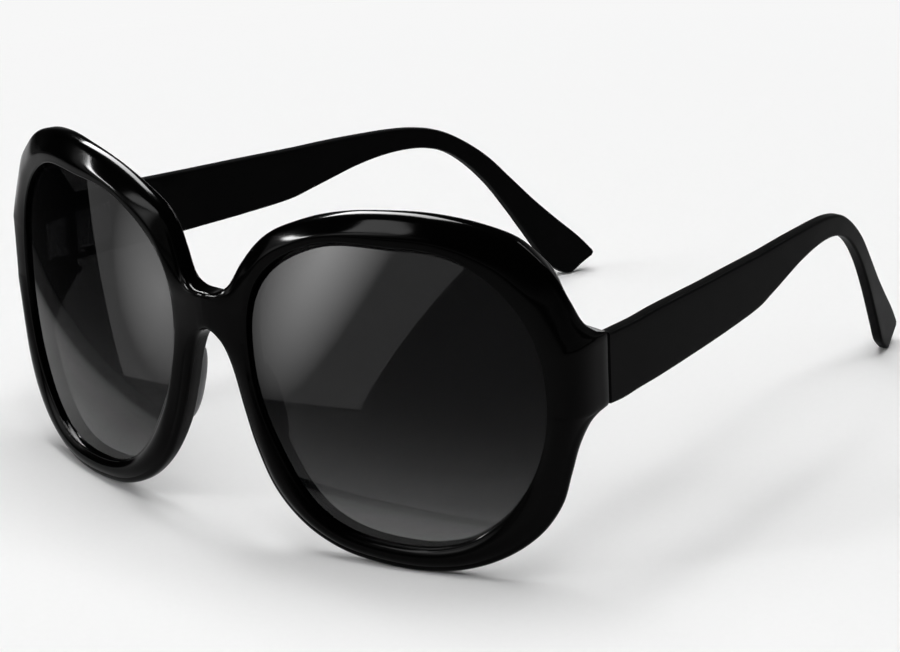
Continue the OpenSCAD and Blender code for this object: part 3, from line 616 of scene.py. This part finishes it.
# Nose pads, on the rim's own line beside the nose
nose = np.array([[r[1], r[0]] for r in rim if r[0] < LENS_C / 2 and r[1] < rim[-1][1]])
pad_rows = curve(with_ends([[r[0] * PAD_H, r[1] * PAD_SPAN] for r in PAD_SHARES]), PAD_STEP)
pad_loop = curve(with_ends([[p[0] * PAD_W, p[1] * PAD_DEEP] for p in PAD_RING_SHARES]), PAD_RING_STEP)
pad_points = []
for s0, s1 in pad_rows:
    v, k = -PAD_TOP - s0, s1 / PAD_SPAN
    u0 = float(np.interp(v, nose[:, 0], nose[:, 1])) + PAD_IN
    pad_points += [wrap([u0 + q[0] * k + PAD_W * (1 - k) / 2, v], -FRONT_T - PAD_GAP - q[1] * k)
                   for q in pad_loop]
loop_n, rows_n = len(pad_loop), len(pad_rows)
pad_faces = [[(i + 1) * loop_n + j, (i + 1) * loop_n + (j + 1) % loop_n, i * loop_n + (j + 1) % loop_n,
              i * loop_n + j] for i in range(rows_n - 1) for j in range(loop_n)]
pad_faces += [list(range(loop_n))[::-1], [(rows_n - 1) * loop_n + j for j in range(loop_n)]]
pads = [mesh_object("left_pad", pad_points, pad_faces), mirrored("right_pad", pad_points, pad_faces)]
for obj in pads + lenses + temples:
    face_outwards(obj)
    soften(obj, SHARP)

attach(front, "front")
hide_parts("front_frame")
for side, arm, pad, lens in zip(("left", "right"), temples, pads, lenses):
    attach(arm, side + "_temple")
    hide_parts(side + "_temple")
    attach(pad, "front")
    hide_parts(side + "_nose_pad")
    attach(lens, "front")
    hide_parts(side + "_lens")


# Shader helpers
def material(name):
    mat = bpy.data.materials.new(name)
    mat.use_nodes = True
    tree = mat.node_tree
    tree.nodes.clear()
    return mat, tree, tree.nodes.new("ShaderNodeOutputMaterial")


def place_in(tree, kind="Object"):
    return tree.nodes.new("ShaderNodeTexCoord").outputs[kind]


def split(tree, vector):
    """The vector's X, Y and Z."""
    node = tree.nodes.new("ShaderNodeSeparateXYZ")
    tree.links.new(vector, node.inputs["Vector"])
    return node.outputs


def noise(tree, scale, detail=3, stretch=None):
    """Cloudy noise from 0 to 1, fixed to the piece."""
    node = tree.nodes.new("ShaderNodeTexNoise")
    node.inputs["Scale"].default_value = scale
    node.inputs["Detail"].default_value = detail
    where = place_in(tree)
    if stretch:
        turn = tree.nodes.new("ShaderNodeMapping")
        turn.inputs["Scale"].default_value = stretch
        tree.links.new(where, turn.inputs["Vector"])
        where = turn.outputs["Vector"]
    tree.links.new(where, node.inputs["Vector"])
    return node.outputs["Fac"]


def ranged(tree, value, a, b, lo=0.0, hi=1.0):
    """From a to b while the value goes from lo to hi."""
    node = tree.nodes.new("ShaderNodeMapRange")
    for name, number in (("From Min", lo), ("From Max", hi), ("To Min", a), ("To Max", b)):
        node.inputs[name].default_value = number
    tree.links.new(value, node.inputs["Value"])
    return node.outputs["Result"]


def calc(tree, how, *values):
    """A maths node; each value is a number or a socket."""
    node = tree.nodes.new("ShaderNodeMath")
    node.operation = how
    for place, value in zip(node.inputs, values):
        if isinstance(value, (int, float)):
            place.default_value = value
        else:
            tree.links.new(value, place)
    return node.outputs["Value"]


def blend(tree, factor, a, b):
    """From a to b; each is a socket, a grey or a colour."""
    node = tree.nodes.new("ShaderNodeMix")
    node.data_type = "RGBA"
    tree.links.new(factor, node.inputs["Factor"])
    for name, value in (("A", a), ("B", b)):
        if isinstance(value, float):
            value = (value, value, value)
        if isinstance(value, tuple):
            node.inputs[name].default_value = (*value, 1)
        else:
            tree.links.new(value, node.inputs[name])
    return node.outputs["Result"]


def seen_straight(tree):
    """1 for what the camera sees, also through a lens."""
    path = tree.nodes.new("ShaderNodeLightPath").outputs
    return calc(tree, "MAXIMUM", path["Is Camera Ray"], path["Is Transmission Ray"])


# Noises of the materials: scale in the shaders' metres, detail, stretch
CLOUDS = (160, 5)
BRUSHED = (900, 4, (1, 1, 0.15))
HUE_CLOUDS = (60, 2)
LENS_CLOUDS = (90, 2)
# How far a noise moves a tone or a roughness, as shares of it
CLOUD_TONE_SHARES = (0.7, 1.3)
CLOUD_ROUGH_SHARES = (0.8, 1.25)
BRUSHED_ROUGH_SHARES = (0.65, 1.5)
BUMP_DEPTH = 0.00005
# Where a painted reflection of the floor lightens the front's tone, under the bridge, in metres of the row
# frame: each pair is the width of a soft edge
REFLECTION_ACROSS = (0.011, 0.017)
REFLECTION_BACK = (-0.0783, -0.0765)
REFLECTION_FOOT = (0.012, 0.02)
REFLECTION_TOP = (0.0425, 0.0385)
# Lenses: refraction, roughness, and the two hues of the tint
LENS_IOR = 1.4
LENS_ROUGH = (0.015, 0.03)
HUES = [(0.0004, 0.0004, 0.0006), (0.0008, 0.0008, 0.001)]
# Tilt of the lens's gloss at the foot and at the top, and half the height that the tint is graded over
DISH = (0.15, 0.65)
TINT_HALF = 0.03
# What one face of a lens lets through, from the foot upwards
SHADES = [(0.0, 0.36), (0.08, 0.29), (0.15, 0.2), (0.3, 0.13), (0.42, 0.098), (0.55, 0.079), (1.0, 0.072)]


def painted_reflection_mask(tree):
    """1 on the part of the front under the bridge, where a painted reflection of the floor lightens the
    tone.
    """
    where = split(tree, place_in(tree))
    mask = ranged(tree, calc(tree, "ABSOLUTE", where["X"]), 1, 0, *REFLECTION_ACROSS)
    for value, limits in ((where["Y"], REFLECTION_BACK), (where["Z"], REFLECTION_FOOT), (where["Z"], REFLECTION_TOP)):
        mask = calc(tree, "MULTIPLY", mask, ranged(tree, value, 0, 1, *limits))
    return mask


def plastic(name, colour, rough, ior, fine, bump, reflection_tone=0):
    """Black acetate: a cloudy trace in its tone and its gloss, and a fine grain. The last argument is the
    lighter tone painted on the part under the bridge, a painted reflection of the floor there."""
    mat, tree, out = material(name)
    bsdf = tree.nodes.new("ShaderNodeBsdfPrincipled")
    cloud = noise(tree, *CLOUDS)
    tone = blend(tree, cloud, *[tuple(c * share for c in colour) for share in CLOUD_TONE_SHARES])
    # Under the bridge the tone is lightened: a painted reflection of the floor, not a finish
    if reflection_tone:
        tone = blend(tree, painted_reflection_mask(tree), tone, reflection_tone)
    tree.links.new(tone, bsdf.inputs["Base Color"])
    roughness = ranged(tree, cloud, *[rough * share for share in CLOUD_ROUGH_SHARES])
    tree.links.new(roughness, bsdf.inputs["Roughness"])
    lift = tree.nodes.new("ShaderNodeBump")
    lift.inputs["Strength"].default_value = bump
    lift.inputs["Distance"].default_value = BUMP_DEPTH
    tree.links.new(noise(tree, fine), lift.inputs["Height"])
    tree.links.new(lift.outputs["Normal"], bsdf.inputs["Normal"])
    bsdf.inputs["IOR"].default_value = ior
    tree.links.new(bsdf.outputs["BSDF"], out.inputs["Surface"])
    return mat


def metal(name, colour, rough):
    """Steel, brushed along its height."""
    mat, tree, out = material(name)
    bsdf = tree.nodes.new("ShaderNodeBsdfPrincipled")
    roughness = ranged(tree, noise(tree, *BRUSHED), *[rough * share for share in BRUSHED_ROUGH_SHARES])
    tree.links.new(roughness, bsdf.inputs["Roughness"])
    bsdf.inputs["Base Color"].default_value = (*colour, 1)
    bsdf.inputs["Metallic"].default_value = 1
    tree.links.new(bsdf.outputs["BSDF"], out.inputs["Surface"])
    return mat


def tint(name):
    """Graded tint: nearly opaque at the top and clearer at the foot. Each face of a lens takes half of it.
    The gloss also gets the slight dishing up and down that a ground lens has."""
    mat, tree, out = material(name)
    node, link = tree.nodes.new, tree.links.new
    bsdf = node("ShaderNodeBsdfPrincipled")
    height = split(tree, place_in(tree))["Z"]
    low, high = FOOT * MM - TINT_HALF, FOOT * MM + TINT_HALF
    ramp = node("ShaderNodeValToRGB")
    while len(ramp.color_ramp.elements) < len(SHADES):
        ramp.color_ramp.elements.new(0.5)
    for el, (at, k) in zip(ramp.color_ramp.elements, SHADES):
        el.position = at
        el.color = (1 - k, 1 - k, 1 - k, 1)
    link(ranged(tree, height, 0, 1, low, high), ramp.inputs["Fac"])
    link(ramp.outputs["Color"], bsdf.inputs["Alpha"])
    link(blend(tree, noise(tree, *HUE_CLOUDS), *HUES), bsdf.inputs["Base Color"])
    shape, dish = node("ShaderNodeNewGeometry"), node("ShaderNodeCombineXYZ")
    link(ranged(tree, height, *DISH, low, high), dish.inputs["Z"])
    add, unit = node("ShaderNodeVectorMath"), node("ShaderNodeVectorMath")
    link(shape.outputs["Normal"], add.inputs[0])
    link(dish.outputs["Vector"], add.inputs[1])
    unit.operation = "NORMALIZE"
    link(add.outputs["Vector"], unit.inputs[0])
    link(unit.outputs["Vector"], bsdf.inputs["Normal"])
    link(ranged(tree, noise(tree, *LENS_CLOUDS), *LENS_ROUGH), bsdf.inputs["Roughness"])
    bsdf.inputs["IOR"].default_value = LENS_IOR
    link(bsdf.outputs["BSDF"], out.inputs["Surface"])
    return mat


# gloss_black's last number is the tone of the painted reflection under the bridge
gloss_black = plastic("gloss_black", (0.0005, 0.0005, 0.0005), 0.1, 1.12, 1500, 0.02, 0.012)
satin_black = plastic("satin_black", (0.002, 0.002, 0.0021), 0.36, 1.065, 2600, 0.2)
pad_black = plastic("pad_black", (0.085, 0.085, 0.088), 0.4, 1.3, 2000, 0.2)
steel = metal("steel", (0.62, 0.62, 0.64), 0.26)
wire_steel = metal("wire_steel", (0.7, 0.69, 0.66), 0.35)
tinted = tint("tinted")
for objs, mat in (([front], gloss_black), (temples, satin_black), (pads, pad_black), (lenses, tinted)):
    for obj in objs:
        obj.data.materials.clear()
        obj.data.materials.append(mat)
for name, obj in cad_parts.items():
    if "hinge" in name or "screw" in name or "wire" in name:
        if not obj.material_slots:
            obj.data.materials.append(None)
        for place in obj.material_slots:
            place.material = wire_steel if "wire" in name else steel

# Floor, in metres
FLOOR_HALF = 6  # half its side
PALE = 0.93  # its even white
GRAIN = (0.92, 0.94)  # tones of the paper
GRAIN_SCALE = 700
FAR_TONE = 0.1  # what its light on the object falls to
NEAR = (0.12, 0.6)  # distances over which it falls
LIT = (0.14, 0.34)  # distances over which the lit paper turns into even white


def paper():
    """Lit paper round the object, which the camera and the lenses see going on as even white; in gloss it
    falls off with its distance."""
    mat, tree, out = material("paper")
    far = tree.nodes.new("ShaderNodeVectorMath")
    far.operation = "LENGTH"
    tree.links.new(place_in(tree), far.inputs[0])
    near = ranged(tree, far.outputs["Value"], 1, 0, *NEAR)
    straight = seen_straight(tree)
    glossy = tree.nodes.new("ShaderNodeLightPath").outputs["Is Glossy Ray"]
    grain = blend(tree, noise(tree, GRAIN_SCALE), *GRAIN)
    bsdf = tree.nodes.new("ShaderNodeBsdfDiffuse")
    tree.links.new(blend(tree, calc(tree, "MAXIMUM", straight, near), FAR_TONE, grain), bsdf.inputs["Color"])
    white = tree.nodes.new("ShaderNodeEmission")
    white.inputs["Strength"].default_value = PALE
    seen = calc(tree, "MAXIMUM", straight, calc(tree, "MULTIPLY", glossy, near))
    only = calc(tree, "MULTIPLY", seen, ranged(tree, far.outputs["Value"], 0, 1, *LIT))
    mix = tree.nodes.new("ShaderNodeMixShader")
    tree.links.new(only, mix.inputs["Fac"])
    tree.links.new(bsdf.outputs["BSDF"], mix.inputs[1])
    tree.links.new(white.outputs["Emission"], mix.inputs[2])
    tree.links.new(mix.outputs["Shader"], out.inputs["Surface"])
    return mat


data = bpy.data.meshes.new("floor")
data.from_pydata([(x * FLOOR_HALF, y * FLOOR_HALF, 0) for x, y in ((-1, -1), (1, -1), (1, 1), (-1, 1))], [],
                 [[0, 1, 2, 3]])
data.materials.append(paper())
floor = new_object("floor", data)

# World
GLOW_TOP = 0.45  # how high its glow reaches, as the sine of the height
GLOW_FALL = 2.5  # power by which it falls off
GLOW = (0.02, 0.7)  # least and most
LEFT_DIM = (0.04, 1, -0.9, -0.45)  # dimmed from this to this while X goes from this to this


def studio():
    """A dark studio with a glow round the foot of its walls, less on the left; seen straight, it is as pale
    as the paper."""
    world = bpy.data.worlds.new("studio")
    world.use_nodes = True
    tree = world.node_tree
    sky = tree.nodes["Background"]
    sky.inputs["Color"].default_value = (1, 1, 1, 1)
    way = split(tree, place_in(tree, "Generated"))
    glow = calc(tree, "POWER", ranged(tree, way["Z"], 1, 0, 0, GLOW_TOP), GLOW_FALL)
    dim = calc(tree, "MULTIPLY", ranged(tree, glow, *GLOW), ranged(tree, way["X"], *LEFT_DIM))
    seen = tree.nodes.new("ShaderNodeMix")
    tree.links.new(seen_straight(tree), seen.inputs["Factor"])
    tree.links.new(dim, seen.inputs["A"])
    seen.inputs["B"].default_value = PALE
    tree.links.new(seen.outputs["Result"], sky.inputs["Strength"])
    return world


bpy.context.scene.world = studio()


# Lamps and window
def toward(azimuth, height):
    """Unit vector to a place at the azimuth and height, in degrees; 0, 0 is in front."""
    az, el = math.radians(azimuth), math.radians(height)
    return Vector((math.sin(az) * math.cos(el), -math.cos(az) * math.cos(el), math.sin(el)))


def level(azimuth):
    """Unit vector to the right of someone who looks in from the azimuth."""
    return Vector((math.cos(math.radians(azimuth)), math.sin(math.radians(azimuth)), 0))


def turn_to(obj, right, up, back):
    """Turns the object so that its X, Y and Z point these ways."""
    obj.rotation_mode = "QUATERNION"
    obj.rotation_quaternion = Matrix((right, up, back)).transposed().to_quaternion()


LAMP_AIM = Vector((0, 0, 0.03))
LAMP_FAR = 2.6


def softbox(name, azimuth, height, size, glow, far=LAMP_FAR):
    """A rectangular lamp, turned to the object; size in metres, glow as its radiance."""
    at = LAMP_AIM + far * toward(azimuth, height)
    data = bpy.data.lights.new(name, "AREA")
    data.shape = "RECTANGLE"
    data.size, data.size_y = size
    data.energy = glow * size[0] * size[1] * math.pi
    obj = new_object(name, data)
    obj.location = at
    obj.rotation_mode = "QUATERNION"
    obj.rotation_quaternion = (LAMP_AIM - at).to_track_quat("-Z", "Y")
    return obj


# The bank overhead and the fill from the camera's side light the scene, and no gloss shows them
for lamp in (softbox("bank", 180, 83, (2.9, 2.9), 3.1, 3.2), softbox("fill", 45, 55, (1.5, 1.5), 1.7)):
    lamp.visible_glossy = False
# The key is a bar high on the left
softbox("key", -107, 62, (0.14, 1.3), 12)
# These show in the gloss alone: along the rims, on the brow, and from low behind
for lamp in (softbox("rim", -109, 55, (0.7, 1.8), 75), softbox("kicker", -62, 28, (1.0, 0.16), 120),
             softbox("kicker high", -30, 47, (0.8, 0.3), 14), softbox("hair", 180, 32, (0.8, 0.12), 22)):
    lamp.visible_diffuse = False

# Window: where it stands, its corners and its light. A patch has its place, turn in degrees, size and light
WINDOW_WAY = (-43, 24)
WINDOW_FAR = 3
WINDOW_AIM = Vector((0, -0.07, 0.04))
WINDOW_CORNERS = [(1.46, -0.44, 0), (1.86, 1.5, 0), (-2.04, 0.2, 0), (-1.26, -1.34, 0)]
WINDOW_GLOW = 0.65
WINDOW_PATCHES = [((0.67, 0.72, 0), -5, (0.5, 1.45, 1), 8.2), ((-0.66, -0.44, 0), 0, (0.7, 0.7, 1), 3.3)]


def daylight():
    """The window's light, with a soft brighter patch for each row of WINDOW_PATCHES."""
    mat, tree, out = material("window")
    where = place_in(tree)
    total = WINDOW_GLOW
    for at, turned, size, bright in WINDOW_PATCHES:
        place = tree.nodes.new("ShaderNodeMapping")
        place.vector_type = "TEXTURE"
        place.inputs["Location"].default_value = at
        place.inputs["Rotation"].default_value = (0, 0, math.radians(turned))
        place.inputs["Scale"].default_value = size
        ball = tree.nodes.new("ShaderNodeTexGradient")
        ball.gradient_type = "SPHERICAL"
        tree.links.new(where, place.inputs["Vector"])
        tree.links.new(place.outputs["Vector"], ball.inputs["Vector"])
        total = calc(tree, "MULTIPLY_ADD", ball.outputs["Fac"], bright, total)
    glow = tree.nodes.new("ShaderNodeEmission")
    tree.links.new(total, glow.inputs["Strength"])
    tree.links.new(glow.outputs["Emission"], out.inputs["Surface"])
    return mat


data = bpy.data.meshes.new("window")
data.from_pydata(WINDOW_CORNERS, [], [[0, 1, 2, 3]])
data.materials.append(daylight())
pane = new_object("window", data)
face, along = toward(*WINDOW_WAY), level(WINDOW_WAY[0])
turn_to(pane, along, face.cross(along), face)
pane.location = WINDOW_AIM + face * WINDOW_FAR

# Camera, fitted to the photograph
CAM_WAY = (42.3, 19.3)  # azimuth and height, in degrees
CAM_ROLL = math.radians(-2.5)
CAM_BACK = 700  # from the source's origin, along the camera's own axes
CAM_RIGHT = 44.70
CAM_UP = 5.91
FOCAL_PX = 3766
PHOTO_W_PX = 900
SENSOR = 36
CLIP = (0.01, 50)

back, right = toward(*CAM_WAY), level(CAM_WAY[0])
up = back.cross(right)
rolled_right = right * math.cos(CAM_ROLL) + up * math.sin(CAM_ROLL)
rolled_up = -right * math.sin(CAM_ROLL) + up * math.cos(CAM_ROLL)
cam_data = bpy.data.cameras.new("camera")
cam_data.sensor_width = SENSOR
cam_data.lens = FOCAL_PX / PHOTO_W_PX * SENSOR
cam_data.clip_start, cam_data.clip_end = CLIP
cam = new_object("camera", cam_data)
cam.location = (back * CAM_BACK + rolled_right * CAM_RIGHT + rolled_up * CAM_UP + Vector(SHIFT)) * MM
turn_to(cam, rolled_right, rolled_up, back)
bpy.context.scene.camera = cam
bpy.context.scene.view_settings.view_transform = "Standard"
